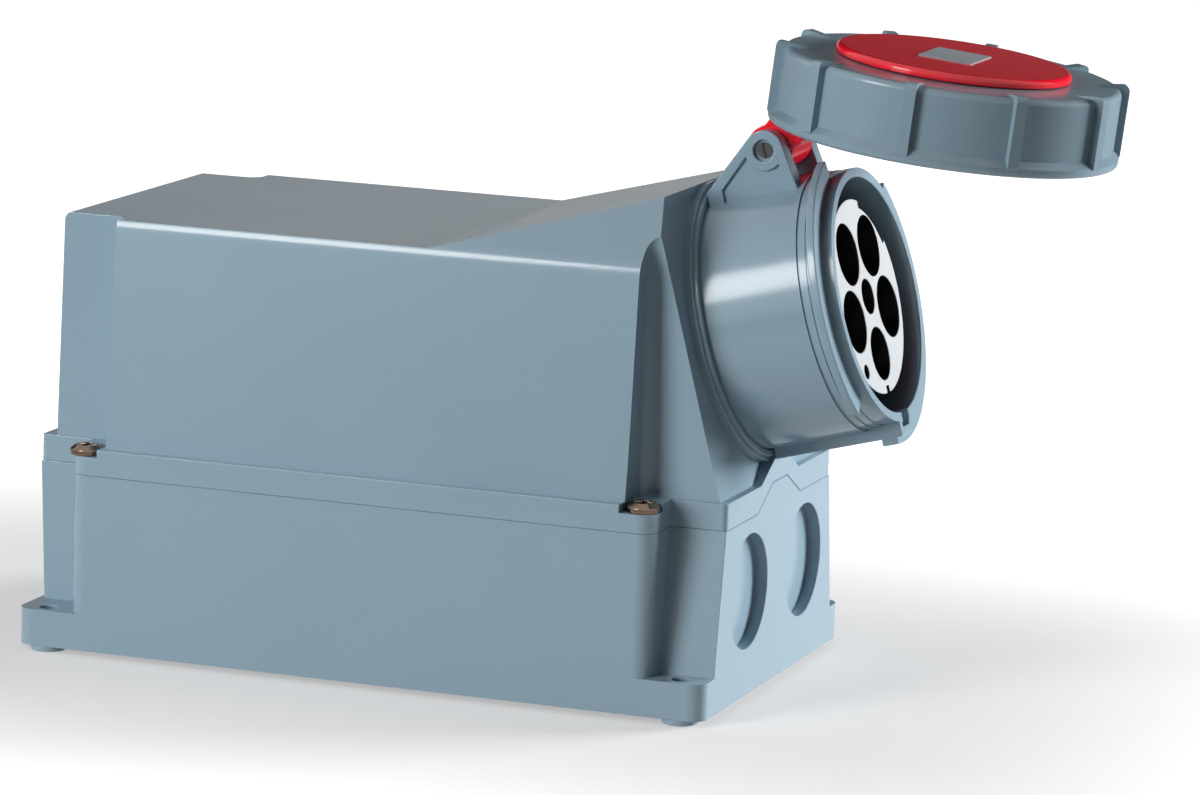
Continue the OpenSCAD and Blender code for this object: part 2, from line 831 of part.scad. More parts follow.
module retainer_screws() {
    color(steel_grey) at_socket() around(retainer_clock, retainer_ring)
        translate([0, 0, plate_end]) mirror([0, 0, 1])
            pan_screw(small_screw_d - 4 * fit, small_head_d, small_head_h, plate_t + retainer_bite);
}

// A turned contact sleeve: pin bore in front, collar, then wire bore and clamp hole
module sleeve(r_out, r_pin, collar, turn) {
    color(brass_yellow) difference() {
        union() {
            rod(r_out, tail_end, sleeve_s);
            rod(r_out + collar, plate_s - collar_t, plate_s);
        }
        rod(r_pin, sleeve_s - pin_len, sleeve_s + cut);
        rod(r_pin, tail_end - cut, tail_end + wire_depth);
        translate([0, 0, grub_s]) rotate([0, 90, turn]) cylinder(d = min(grub_d, r_pin), h = 2 * r_out);
    }
}

module contact_sleeve(i) {
    at_socket() at_contact(i) sleeve(sleeve_r(i), pin_r(i), collar_extra, 180 - contact_clock[i]);
}

module phase_sleeve_1() {
    contact_sleeve(0);
}

module phase_sleeve_2() {
    contact_sleeve(1);
}

module phase_sleeve_3() {
    contact_sleeve(2);
}

module neutral_sleeve() {
    contact_sleeve(3);
}

module earth_sleeve() {
    contact_sleeve(4);
}

module pilot_sleeve() {
    at_socket() sleeve(pilot_r, pilot_pin_d / 2, pilot_collar, 180);
}

// A slotted clamp screw that reaches through a sleeve's wall
module grub(r_out, r_pin, turn) {
    d = min(grub_d, r_pin) - 2 * fit;
    translate([0, 0, grub_s]) rotate([0, 90, turn]) difference() {
        rod(d / 2, r_pin - grub_out / 2, r_out + grub_out);
        translate([-d, -grub_slot / 2, r_out + grub_out / 2]) cube([2 * d, grub_slot, grub_out]);
    }
}

module terminal_screws() {
    color(steel_grey) at_socket() {
        for (i = [0:4]) at_contact(i) grub(sleeve_r(i), pin_r(i), 180 - contact_clock[i]);
        grub(pilot_r, pilot_pin_d / 2, 180);
    }
}

module hinge_pin() {
    near_end = ear_out - recess_t + gap;
    color(steel_grey) at_socket() at_hinge() difference() {
        rod(pin_d / 2 - press, -ear_out, near_end);
        translate([-pin_d, -pin_slot / 2, near_end - pin_slot]) cube([2 * pin_d, pin_slot, 2 * pin_slot]);
    }
}

// Outline of the hinge arm in a side view of the socket
module arm_outline() {
    translate([-hinge_h, hinge_s]) circle(arm_r);
    polygon([[-neck_low, arm_rear], [-neck_low, arm_front], [-arm_high, arm_front],
             [-arm_high - arm_r / 2, hinge_s + arm_r / 2], [-hinge_h, hinge_s],
             [-hinge_h + arm_r * 0.8, hinge_s]]);
}

module lid_plate() {
    neck_s = arm_front - 3;
    color(lid_red) at_lid() difference() {
        union() {
            rod(lid_r, lid_low, lid_top);
            side_plate(-arm_w / 2, arm_w / 2) arm_outline();
            translate([-neck_high, -neck_half, neck_s])
                cube([neck_high - neck_low, 2 * neck_half, lid_top - neck_s]);
            translate([-neck_high, -neck_half, lid_low])
                cube([neck_high - lid_r / 2, 2 * neck_half, lid_t]);
        }
        tube(seal_out + fit, seal_in - fit, lid_low - cut, lid_low + seal_sink);
        at_hinge() rod(pin_d / 2 + turning, -ear_out, ear_out);
        around(lid_screw_clock, lid_screw_ring) rod(lid_screw_d / 2 + fit, lid_low - cut, lid_top + cut);
    }
}

module lid_disc() {
    edge = arc([disc_d / 2 - disc_edge, disc_top - disc_edge], disc_edge, 0, 90);
    color(lid_red) at_lid() difference() {
        union() {
            rod(hub_r, lid_top, disc_low + eps);
            rotate_extrude() polygon(concat([[0, disc_low], [disc_d / 2, disc_low]], edge, [[0, disc_top]]));
        }
        around(lid_screw_clock, lid_screw_ring)
            rod(lid_screw_d / 2 - fit, lid_top - cut, lid_top + lid_screw_bite + gap);
    }
}

module lid_gasket() {
    color(rubber_black) at_lid() tube(seal_out, seal_in, seal_low, lid_low + seal_sink);
}

module lid_screws() {
    color(steel_grey) at_lid() around(lid_screw_clock, lid_screw_ring)
        translate([0, 0, lid_low]) mirror([0, 0, 1])
            pan_screw(lid_screw_d - 4 * fit, lid_screw_head_d, lid_screw_head_h, lid_t + lid_screw_bite);
}

module lid_label() {
    color(label_grey) at_lid() translate([-label_l / 2, -label_w / 2, disc_top])
        cube([label_l, label_w, label_t]);
}

// Section of the ring's body, with a band round its lower edge
module ring_section() {
    low_edge = arc([band_r - band_round, band_round - ring_back], band_round, -90, 0);
    top_edge = arc([panel_r - ring_round, ring_front - ring_round], ring_round, 0, 90);
    polygon(concat([[ring_in, -ring_back]], low_edge,
                   [[band_r, band_top], [panel_r, band_top + band_r - panel_r]], top_edge,
                   [[ring_hole_r, ring_front], [ring_hole_r, ring_front - ring_top_t],
                    [ring_in, ring_front - ring_top_t]]));
}

// Side outline of a rib, from its run over the ring's top down to the band
module rib_outline() {
    foot = [ring_r, band_top];
    crest = [ring_r, ring_front + rib_rise];
    tail = [ring_r - rib_run, ring_front];
    root = panel_r - rib_sink;
    polygon(concat([[root, band_top - rib_h], [panel_r, band_top - rib_h], foot],
                   round_corner(foot, crest, tail, rib_round),
                   [tail, tail - [0, rib_sink], [root, ring_front - rib_sink]]));
}

// A claw inside the ring that hooks behind a lug
module claw(range) {
    intersection() {
        tube(ring_in + cut, claw_r, claw_s, claw_s + claw_t);
        clock_wedge(range, 2 * ring_in, claw_s - cut, claw_s + claw_t + cut);
    }
}

module bayonet_ring() {
    color(housing_grey) at_lid() {
        rotate_extrude() ring_section();
        claw(claw_a);
        claw(claw_b);
        for (i = [0:rib_n - 1]) rotate([0, 0, rib_phase + i * 360 / rib_n])
            side_plate(-rib_w / 2, rib_w / 2) rib_outline();
    }
}

base_box();
cover_hood();
cover_gasket();
cover_screws();
threaded_inserts();
socket_barrel();
barrel_gasket();
barrel_screws();
contact_carrier();
carrier_screws();
retainer_plate();
retainer_screws();
phase_sleeve_1();
phase_sleeve_2();
phase_sleeve_3();
neutral_sleeve();
earth_sleeve();
pilot_sleeve();
terminal_screws();
hinge_pin();
lid_plate();
lid_disc();
lid_gasket();
lid_screws();
lid_label();
bayonet_ring();
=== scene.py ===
"""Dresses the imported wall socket: moulded shells with rounded edges, finishes, studio and camera."""

from __future__ import annotations

import json
import logging
import math
from dataclasses import dataclass, field
from enum import Enum

import bmesh
import bpy
from mathutils import Matrix, Vector

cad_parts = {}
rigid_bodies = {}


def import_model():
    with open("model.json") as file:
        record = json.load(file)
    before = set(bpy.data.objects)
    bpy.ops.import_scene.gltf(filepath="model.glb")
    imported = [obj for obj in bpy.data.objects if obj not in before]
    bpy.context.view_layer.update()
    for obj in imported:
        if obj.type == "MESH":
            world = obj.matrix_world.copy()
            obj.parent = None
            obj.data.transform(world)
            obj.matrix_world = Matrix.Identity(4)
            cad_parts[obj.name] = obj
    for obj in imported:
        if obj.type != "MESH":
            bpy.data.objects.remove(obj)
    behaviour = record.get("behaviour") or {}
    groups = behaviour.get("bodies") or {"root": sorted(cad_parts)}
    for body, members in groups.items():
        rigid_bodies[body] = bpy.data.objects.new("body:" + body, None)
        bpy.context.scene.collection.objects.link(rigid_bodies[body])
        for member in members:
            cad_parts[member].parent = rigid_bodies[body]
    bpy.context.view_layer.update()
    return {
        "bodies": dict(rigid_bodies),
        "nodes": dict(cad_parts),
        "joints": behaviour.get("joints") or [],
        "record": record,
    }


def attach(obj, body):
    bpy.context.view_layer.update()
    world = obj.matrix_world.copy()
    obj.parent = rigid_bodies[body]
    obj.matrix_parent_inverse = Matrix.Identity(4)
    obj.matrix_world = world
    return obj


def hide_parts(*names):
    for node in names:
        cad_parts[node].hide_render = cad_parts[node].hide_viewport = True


MM = 0.001
WHITE = (1.0, 1.0, 1.0, 1.0)
# Layers of a noise: one gives an even grain, more give finer grain within it.
EVEN, MIXED, RICH = 1.0, 2.0, 3.0
# Sockets of a mix node that takes colours: other kinds of value share their names.
MIX_A, MIX_B, MIX_OUT = 6, 7, 2
log = logging.getLogger("scene")


class Slot(Enum):
    """Material slots of the record that the rounded shells take."""

    HOUSING = "housing"
    RING = "ring"
    LID = "lid"
    CARRIER = "carrier"
    STEEL = "steel"


class Body(Enum):
    """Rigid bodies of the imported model."""

    HOUSING = "housing"
    LID = "lid"
    RING = "ring"


def linear(code: str) -> tuple[float, float, float, float]:
    """Turns a written sRGB colour into linear values.

    Args:
        code: colour as six hex digits after a hash.

    Returns:
        Linear red, green, blue and a full alpha.
    """
    parts = [int(code[i:i + 2], 16) / 255 for i in (1, 3, 5)]
    low = [p / 12.92 if p <= 0.04045 else ((p + 0.055) / 1.055) ** 2.4 for p in parts]
    return low[0], low[1], low[2], 1.0


def add(tree: bpy.types.NodeTree, kind: str, feeds: dict | None = None,
        **settings: object) -> bpy.types.Node:
    """Adds one shader node with its settings, values and links.

    Args:
        tree: node tree that takes the node.
        kind: type name of the node.
        feeds: input name or number, with the value it takes or the socket that feeds it.
        settings: properties of the node itself.

    Returns:
        The new node.
    """
    made = tree.nodes.new(kind)
    for key, value in settings.items():
        setattr(made, key, value)
    for key, value in (feeds or {}).items():
        if isinstance(value, bpy.types.NodeSocket):
            tree.links.new(value, made.inputs[key])
        else:
            made.inputs[key].default_value = value
    return made


def start_finish(name: str) -> tuple[bpy.types.Material, bpy.types.NodeTree, bpy.types.Node,
                                     bpy.types.NodeSocket]:
    """Starts a material whose patterns lie fast on the piece.

    Args:
        name: what the real material is.

    Returns:
        The material, its node tree, its shader and the place on the piece.
    """
    material = bpy.data.materials.new(name)
    material.use_nodes = True
    tree = material.node_tree
    place = add(tree, "ShaderNodeTexCoord").outputs["Object"]
    return material, tree, tree.nodes["Principled BSDF"], place


def start_light(name: str) -> tuple[bpy.types.Material, bpy.types.NodeTree, bpy.types.NodeSocket]:
    """Starts an empty material for a piece of the studio.

    Args:
        name: what the piece is made of.

    Returns:
        The material, its node tree and the place on the piece.
    """
    material = bpy.data.materials.new(name)
    material.use_nodes = True
    tree = material.node_tree
    tree.nodes.clear()
    return material, tree, add(tree, "ShaderNodeTexCoord").outputs["Object"]


def settle(shape: bmesh.types.BMesh, name: str, finish: bpy.types.Material) -> bpy.types.Object:
    """Turns a finished shape into an object of the scene.

    Args:
        shape: the shape, in metres and in its place.
        name: name of the object.
        finish: material of the object.

    Returns:
        The new object.
    """
    mesh = bpy.data.meshes.new(name)
    shape.to_mesh(mesh)
    shape.free()
    mesh.materials.append(finish)
    piece = bpy.data.objects.new(name, mesh)
    bpy.context.scene.collection.objects.link(piece)
    return piece


@dataclass(frozen=True)
class MouldedPlastic:
    """Injection-moulded plastic: an even pigment under a smooth skin with a faint orange peel."""

    name: str
    colour: str
    deep: str
    roughness: float
    ior: float = 1.53
    flow_mm: float = 46.0
    flow_band: tuple[float, float] = (0.3, 0.7)
    gloss_spread: float = 0.08
    peel_mm: float = 1.6
    peel_depth_mm: float = 0.002

    def build(self) -> bpy.types.Material:
        """Makes the material.

        Returns:
            The finished material.
        """
        material, tree, shader, place = start_finish(self.name)
        flow = add(tree, "ShaderNodeTexNoise",
                   {"Vector": place, "Scale": 1 / (self.flow_mm * MM), "Detail": RICH}).outputs["Fac"]
        tone = add(tree, "ShaderNodeMix",
                   {"Factor": flow, MIX_A: linear(self.deep), MIX_B: linear(self.colour)},
                   data_type="RGBA")
        gloss = add(tree, "ShaderNodeMapRange",
                    {"Value": flow, "From Min": self.flow_band[0], "From Max": self.flow_band[1],
                     "To Min": self.roughness * (1 - self.gloss_spread),
                     "To Max": self.roughness * (1 + self.gloss_spread)})
        peel = add(tree, "ShaderNodeTexNoise",
                   {"Vector": place, "Scale": 1 / (self.peel_mm * MM), "Detail": EVEN})
        skin = add(tree, "ShaderNodeBump",
                   {"Height": peel.outputs["Fac"], "Distance": self.peel_depth_mm * MM})
        shader.inputs["IOR"].default_value = self.ior
        tree.links.new(tone.outputs[MIX_OUT], shader.inputs["Base Color"])
        tree.links.new(gloss.outputs["Result"], shader.inputs["Roughness"])
        tree.links.new(skin.outputs["Normal"], shader.inputs["Normal"])
        return material


@dataclass(frozen=True)
class BareMetal:
    """Turned or plated metal: its own reflection colour, with the fine grain of the tool or bath."""

    name: str
    colour: str
    shade: str
    roughness: float
    patch_mm: float = 3.5
    # The real grain is too fine to show, so it is drawn coarser.
    mark_mm: float = 0.35
    mark_depth_mm: float = 0.004

    def build(self) -> bpy.types.Material:
        """Makes the material.

        Returns:
            The finished material.
        """
        material, tree, shader, place = start_finish(self.name)
        patch = add(tree, "ShaderNodeTexNoise",
                    {"Vector": place, "Scale": 1 / (self.patch_mm * MM), "Detail": MIXED})
        tone = add(tree, "ShaderNodeMix",
                   {"Factor": patch.outputs["Fac"], MIX_A: linear(self.shade),
                    MIX_B: linear(self.colour)}, data_type="RGBA")
        marks = add(tree, "ShaderNodeTexNoise",
                    {"Vector": place, "Scale": 1 / (self.mark_mm * MM), "Detail": EVEN})
        cut = add(tree, "ShaderNodeBump",
                  {"Height": marks.outputs["Fac"], "Distance": self.mark_depth_mm * MM})
        shader.inputs["Metallic"].default_value = 1.0
        shader.inputs["Roughness"].default_value = self.roughness
        tree.links.new(tone.outputs[MIX_OUT], shader.inputs["Base Color"])
        tree.links.new(cut.outputs["Normal"], shader.inputs["Normal"])
        return material


@dataclass(frozen=True)
class SoftRubber:
    """Moulded sealing rubber: near black, dull, with a fine bloom."""

    name: str
    colour: str
    bloom: str
    roughness: float = 0.62
    # The real bloom is a finer dust, drawn coarser so that it shows.
    grain_mm: float = 0.7
    grain_depth_mm: float = 0.02

    def build(self) -> bpy.types.Material:
        """Makes the material.

        Returns:
            The finished material.
        """
        material, tree, shader, place = start_finish(self.name)
        grain = add(tree, "ShaderNodeTexNoise",
                    {"Vector": place, "Scale": 1 / (self.grain_mm * MM), "Detail": RICH}).outputs["Fac"]
        tone = add(tree, "ShaderNodeMix",
                   {"Factor": grain, MIX_A: linear(self.colour), MIX_B: linear(self.bloom)},
                   data_type="RGBA")
        skin = add(tree, "ShaderNodeBump", {"Height": grain, "Distance": self.grain_depth_mm * MM})
        shader.inputs["Roughness"].default_value = self.roughness
        tree.links.new(tone.outputs[MIX_OUT], shader.inputs["Base Color"])
        tree.links.new(skin.outputs["Normal"], shader.inputs["Normal"])
        return material


class Finishes:
    """The finishes of the real socket, each built once."""

    def __init__(self) -> None:
        """Builds every material."""
        # Filled polyamide from a smooth mould: a satin skin with soft, wide highlights.
        self.housing = MouldedPlastic("moulded polyamide, blue-grey", "#89a1af", "#859dab", 0.17).build()
        # The same plastic from a duller mould: a shade darker, with a little less sheen.
        self.ring = MouldedPlastic("moulded polyamide, slate grey", "#8299a6", "#7e95a2", 0.20).build()
        # Pigmented polyamide from a polished mould: a deep, even red under a clear gloss.
        self.red = MouldedPlastic("moulded polyamide, signal red", "#f4162f", "#ec132c", 0.12).build()
        # Heat-proof polyamide: pale and half matt, so that the contact holes stand out.
        self.white = MouldedPlastic("moulded polyamide, light grey", "#c4cacd", "#bfc5c8", 0.24).build()
        # Painted shade: a near-black material on the insert's holes and sides stands in for the shade deep
        # in them, so that the holes read as deep, with no shine inside.
        self.black = MouldedPlastic("painted hole shade, near black", "#121113", "#161517", 0.34).build()
        # Nitrile rubber from a matt mould: near black and dull, with a light bloom.
        self.rubber = SoftRubber("moulded nitrile rubber", "#1b1d1f", "#232628").build()
        # Zinc plating with a yellow passivation: a warm, brownish shine on the screw heads. Its colour is
        # darker than the plating's own: painted shade for the dark surroundings that the heads mirror.
        self.steel = BareMetal("yellow passivated zinc on steel", "#8f7a6a", "#6e5c50", 0.22).build()
        # Stainless steel from the lathe: a cool shine on the head of the pin. Its colour is dimmer than the
        # steel's own: painted shade for the recess that the head sits in.
        self.pin = BareMetal("turned stainless steel", "#77797b", "#606264", 0.30).build()
        # Brass from the lathe: a warm yellow shine, in the holes and at the rear inserts.
        self.brass = BareMetal("turned brass", "#c9a64e", "#b08c3c", 0.28).build()
        # Polyester film with a satin face: a flat pale grey that calms the gloss of the disc.
        self.label = MouldedPlastic("satin polyester label film", "#9fa4aa", "#999ea4", 0.42).build()


@dataclass
class RoundedShell:
    """One piece taken over from its CAD node, with its outer edges rounded as the mould leaves them.

    The rooms are multiples of the rounding: a run is rounded where nearly all of it has the full
    room beside it, and no part of it has less than the least.
    """

    node: str
    body: Body
    slot: Slot
    edge_mm: float
    segments: int = 3
    merge_mm: float = 0.002
    flat_deg: float = 0.6
    sharp_deg: float = 26.0
    split_deg: float = 35.0
    turn_deg: float = 30.0
    full_room: float = 2.1
    least_room: float = 1.05
    share: float = 0.97
    probes: tuple[float, float, float] = (0.1, 0.5, 0.9)

    def is_sharp(self, edge: bmesh.types.BMEdge) -> bool:
        """Tells whether two faces meet at an edge that the eye sees as one."""
        return edge.is_manifold and edge.calc_face_angle(0.0) > math.radians(self.sharp_deg)

    def free_depth(self, face: bmesh.types.BMFace, edge: bmesh.types.BMEdge) -> float:
        """Measures how far a face reaches straight in from one of its edges, up to a sharp edge.

        Args:
            face: face that borders the edge.
            edge: edge to measure from.

        Returns:
            The shortest reach found, in metres.
        """
        start, end = (v.co for v in edge.verts)
        along = (end - start).normalized()
        length = (end - start).length
        inward = face.normal.cross(along)
        loop = next(c for c in face.loops if c.edge == edge)
        if loop.vert == edge.verts[1]:
            inward.negate()
        found = max((v.co - start).dot(inward) for v in face.verts)
        borders = [other for other in face.edges if other != edge and self.is_sharp(other)]
        for vert in {v for other in borders for v in other.verts} - set(edge.verts):
            depth = (vert.co - start).dot(inward)
            if 0 < depth < found and 0 <= (vert.co - start).dot(along) <= length:
                found = depth
        for probe in self.probes:
            root = start.lerp(end, probe)
            for other in borders:
                a, b = (v.co - root for v in other.verts)
                side_a, side_b = a.dot(along), b.dot(along)
                if side_a * side_b < 0:
                    cross = a.lerp(b, side_a / (side_a - side_b)).dot(inward)
                    if 0 < cross < found:
                        found = cross
        return found

    def room(self, edge: bmesh.types.BMEdge) -> float:
        """Gives the free depth on the narrower side of an edge, as a multiple of the rounding."""
        return min(self.free_depth(face, edge) for face in edge.link_faces) / (self.edge_mm * MM)

    def runs_on(self, vert: bmesh.types.BMVert, edges: list[bmesh.types.BMEdge]) -> bool:
        """Tells whether two edges follow each other at a corner without a kink.

        Args:
            vert: the corner.
            edges: sharp outer edges that meet there.

        Returns:
            True where exactly two meet and the line hardly turns.
        """
        if len(edges) != 2:
            return False
        into, out = (edge.other_vert(vert).co - vert.co for edge in edges)
        return into.angle(-out, math.pi) < math.radians(self.turn_deg)

    def outer_edges(self, shape: bmesh.types.BMesh) -> list[bmesh.types.BMEdge]:
        """Finds the runs of sharp outer edges that take the rounding along their whole length.

        Args:
            shape: the merged piece.

        Returns:
            The edges to round.
        """
        waiting = {edge for edge in shape.edges if self.is_sharp(edge) and edge.is_convex}
        meeting: dict[bmesh.types.BMVert, list[bmesh.types.BMEdge]] = {}
        for edge in shape.edges:
            if edge in waiting:
                for vert in edge.verts:
                    meeting.setdefault(vert, []).append(edge)
        chosen = []
        for first in shape.edges:
            if first not in waiting:
                continue
            waiting.discard(first)
            run = [first]
            ends = list(first.verts)
            while ends:
                vert = ends.pop()
                for edge in meeting[vert] if self.runs_on(vert, meeting[vert]) else ():
                    if edge in waiting:
                        waiting.discard(edge)
                        run.append(edge)
                        ends.append(edge.other_vert(vert))
            rooms = [(self.room(edge), edge.calc_length()) for edge in run]
            length = sum(part for _, part in rooms)
            wide = sum(part for room, part in rooms if room > self.full_room)
            if wide > self.share * length and min(rooms)[0] > self.least_room:
                chosen.extend(run)
        return chosen

    def build(self, frame: dict, finish: bpy.types.Material) -> bpy.types.Object:
        """Builds the piece in place of its node.

        Args:
            frame: the loaded model.
            finish: material of the piece.

        Returns:
            The new object.
        """
        shape = bmesh.new()
        shape.from_mesh(frame["nodes"][self.node].data)
        bmesh.ops.remove_doubles(shape, verts=shape.verts, dist=self.merge_mm * MM)
        bmesh.ops.dissolve_limit(shape, angle_limit=math.radians(self.flat_deg), verts=shape.verts,
                                 edges=shape.edges)
        bmesh.ops.bevel(shape, geom=self.outer_edges(shape), offset=self.edge_mm * MM,
                        offset_type="OFFSET", segments=self.segments, profile=0.5, affect="EDGES",
                        clamp_overlap=False, loop_slide=True, material=-1)
        for face in shape.faces:
            face.smooth = True
        for edge in shape.edges:
            edge.smooth = edge.calc_face_angle(0.0) < math.radians(self.split_deg)
        piece = settle(shape, self.node + "_shell", finish)
        even = piece.modifiers.new("even shading", "WEIGHTED_NORMAL")
        even.keep_sharp = True
        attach(piece, self.body.value)
        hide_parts(self.node)
        log.info("%s: %d faces", piece.name, len(piece.data.polygons))
        return piece


def dress(frame: dict, finish: bpy.types.Material, *names: str) -> None:
    """Gives CAD nodes that stay as they are a finish.

    Args:
        frame: the loaded model.
        finish: material that they take.
        names: nodes to dress.
    """
    for name in names:
        for slot in frame["nodes"][name].material_slots:
            slot.material = finish
        log.info("%s: dressed in %s", name, finish.name)


@dataclass
class WallBase:
    """The wall box with its feet, blind cable entries, cover gasket and threaded inserts."""

    edge_mm: float = 0.4

    def build(self, frame: dict, finishes: Finishes) -> None:
        """Builds and dresses the base.

        Args:
            frame: the loaded model.
            finishes: materials of the socket.
        """
        RoundedShell("base_box", Body.HOUSING, Slot.HOUSING, self.edge_mm).build(frame, finishes.housing)
        dress(frame, finishes.rubber, "cover_gasket")
        dress(frame, finishes.brass, "threaded_inserts")


@dataclass
class CoverHood:
    """The hood over the base, with its screws."""

    edge_mm: float = 0.4
    head_edge_mm: float = 0.3

    def build(self, frame: dict, finishes: Finishes) -> None:
        """Builds and dresses the cover.

        Args:
            frame: the loaded model.
            finishes: materials of the socket.
        """
        RoundedShell("cover_hood", Body.HOUSING, Slot.HOUSING, self.edge_mm).build(frame, finishes.housing)
        RoundedShell("cover_screws", Body.HOUSING, Slot.STEEL, self.head_edge_mm).build(frame, finishes.steel)


@dataclass
class SocketBarrel:
    """The tilted barrel with its lugs and ears, the white insert and the contacts."""

    edge_mm: float = 0.5
    carrier_edge_mm: float = 0.4
    tilt_deg: float = 15.4
    rim_mm: tuple[float, float, float] = (161.5, 0.0, 141.8)
    face_back_mm: float = 4.0
    face_t_mm: float = 0.5
    face_lean_deg: float = 60.0

    def split_insert(self, insert: bpy.types.Object, hole_shade: bpy.types.Material) -> None:
        """Leaves the insert's front face white and paints its holes and sides near black, as painted shade.

        Args:
            insert: the contact insert.
            hole_shade: near-black material for the painted shade behind the face.
        """
        tilt = math.radians(self.tilt_deg)
        axis = Vector((math.cos(tilt), 0.0, math.sin(tilt)))
        least = math.cos(math.radians(self.face_lean_deg))
        face_at = Vector(self.rim_mm).dot(axis) * MM - (self.face_back_mm + self.face_t_mm) * MM
        insert.data.materials.append(hole_shade)
        # Painted shade: faces that lean away from the axis or lie behind the face take the near-black
        # material.
        for face in insert.data.polygons:
            if face.normal.dot(axis) < least or face.center.dot(axis) < face_at:
                face.material_index = 1

    def build(self, frame: dict, finishes: Finishes) -> None:
        """Builds and dresses the barrel.

        Args:
            frame: the loaded model.
            finishes: materials of the socket.
        """
        RoundedShell("socket_barrel", Body.HOUSING, Slot.HOUSING, self.edge_mm).build(frame, finishes.housing)
        insert = RoundedShell("contact_carrier", Body.HOUSING, Slot.CARRIER, self.carrier_edge_mm)
        self.split_insert(insert.build(frame, finishes.white), finishes.black)
        dress(frame, finishes.white, "retainer_plate")
        dress(frame, finishes.rubber, "barrel_gasket")
        dress(frame, finishes.steel, "barrel_screws", "carrier_screws", "retainer_screws", "terminal_screws")
        dress(frame, finishes.pin, "hinge_pin")
        dress(frame, finishes.brass, "phase_sleeve_1", "phase_sleeve_2", "phase_sleeve_3", "neutral_sleeve",
              "earth_sleeve", "pilot_sleeve")


@dataclass
class HingedLid:
    """The red lid with its disc, gasket and blank label."""

    edge_mm: float = 0.5

    def build(self, frame: dict, finishes: Finishes) -> None:
        """Builds and dresses the lid.

        Args:
            frame: the loaded model.
            finishes: materials of the socket.
        """
        RoundedShell("lid_plate", Body.LID, Slot.LID, self.edge_mm).build(frame, finishes.red)
        RoundedShell("lid_disc", Body.LID, Slot.LID, self.edge_mm).build(frame, finishes.red)
        dress(frame, finishes.rubber, "lid_gasket")
        dress(frame, finishes.steel, "lid_screws")
        dress(frame, finishes.label, "lid_label")


@dataclass
class BayonetRing:
    """The ribbed ring that turns on the lid."""

    edge_mm: float = 0.6

    def build(self, frame: dict, finishes: Finishes) -> None:
        """Builds and dresses the ring.

        Args:
            frame: the loaded model.
            finishes: materials of the socket.
        """
        RoundedShell("bayonet_ring", Body.RING, Slot.RING, self.edge_mm).build(frame, finishes.ring)


@dataclass
class SoftBox:
    """A rectangular lamp aimed at the socket, with its sizes in metres."""

    name: str
    place: tuple[float, float, float]
    aim: tuple[float, float, float]
    width: float
    height: float
    radiance: float
    mirrored: bool = True

    def build(self) -> bpy.types.Object:
        """Builds the lamp.

        Returns:
            The lamp's object.
        """
        lamp = bpy.data.lights.new(self.name, "AREA")
        lamp.shape = "RECTANGLE"
        lamp.size = self.width
        lamp.size_y = self.height
        lamp.energy = self.radiance * math.pi * self.width * self.height
        thing = bpy.data.objects.new(self.name, lamp)
        thing.location = self.place
        back = Vector(self.place) - Vector(self.aim)
        thing.rotation_euler = back.to_track_quat("Z", "Y").to_euler()
        thing.visible_glossy = self.mirrored
        bpy.context.scene.collection.objects.link(thing)
        return thing


@dataclass
class Card:
    """A dim upright card that the gloss shows in place of the white room, unseen by the camera.

    Its corners are given as x and z in metres, and its glow changes over the heights of the fade.
    """

    name: str
    low: tuple[float, float]
    high: tuple[float, float]
    y: float
    fade: tuple[float, float]
    level: tuple[float, float]

    def glow(self) -> bpy.types.Material:
        """Makes the card's material.

        Returns:
            The finished material.
        """
        material, tree, place = start_light("grey studio card")
        height = add(tree, "ShaderNodeSeparateXYZ", {"Vector": place}).outputs["Z"]
        level = add(tree, "ShaderNodeMapRange",
                    {"Value": height, "From Min": self.fade[0], "From Max": self.fade[1],
                     "To Min": self.level[0], "To Max": self.level[1]})
        light = add(tree, "ShaderNodeEmission", {"Strength": level.outputs["Result"]})
        add(tree, "ShaderNodeOutputMaterial", {"Surface": light.outputs["Emission"]})
        return material

    def build(self) -> bpy.types.Object:
        """Builds the card.

        Returns:
            The card's object.
        """
        size = (self.high[0] - self.low[0], self.high[1] - self.low[1])
        centre = ((self.high[0] + self.low[0]) / 2, self.y, (self.high[1] + self.low[1]) / 2)
        shape = bmesh.new()
        bmesh.ops.create_grid(shape, x_segments=1, y_segments=1, size=0.5)
        bmesh.ops.scale(shape, verts=shape.verts, vec=(size[0], size[1], 1.0))
        bmesh.ops.rotate(shape, verts=shape.verts, matrix=Matrix.Rotation(math.pi / 2, 3, "X"))
        bmesh.ops.translate(shape, verts=shape.verts, vec=centre)
        card = settle(shape, self.name, self.glow())
        card.visible_camera = False
        card.visible_shadow = False
        return card


def seen_directly(tree: bpy.types.NodeTree) -> bpy.types.NodeSocket:
    """Tells rays that show the background from rays that only light the socket.

    Args:
        tree: node tree that takes the nodes.

    Returns:
        A socket that is 1 for camera, glossy and transmission rays.
    """
    path = add(tree, "ShaderNodeLightPath").outputs
    first = add(tree, "ShaderNodeMath", {0: path["Is Camera Ray"], 1: path["Is Glossy Ray"]},
                operation="MAXIMUM").outputs["Value"]
    return add(tree, "ShaderNodeMath", {0: first, 1: path["Is Transmission Ray"]},
               operation="MAXIMUM").outputs["Value"]


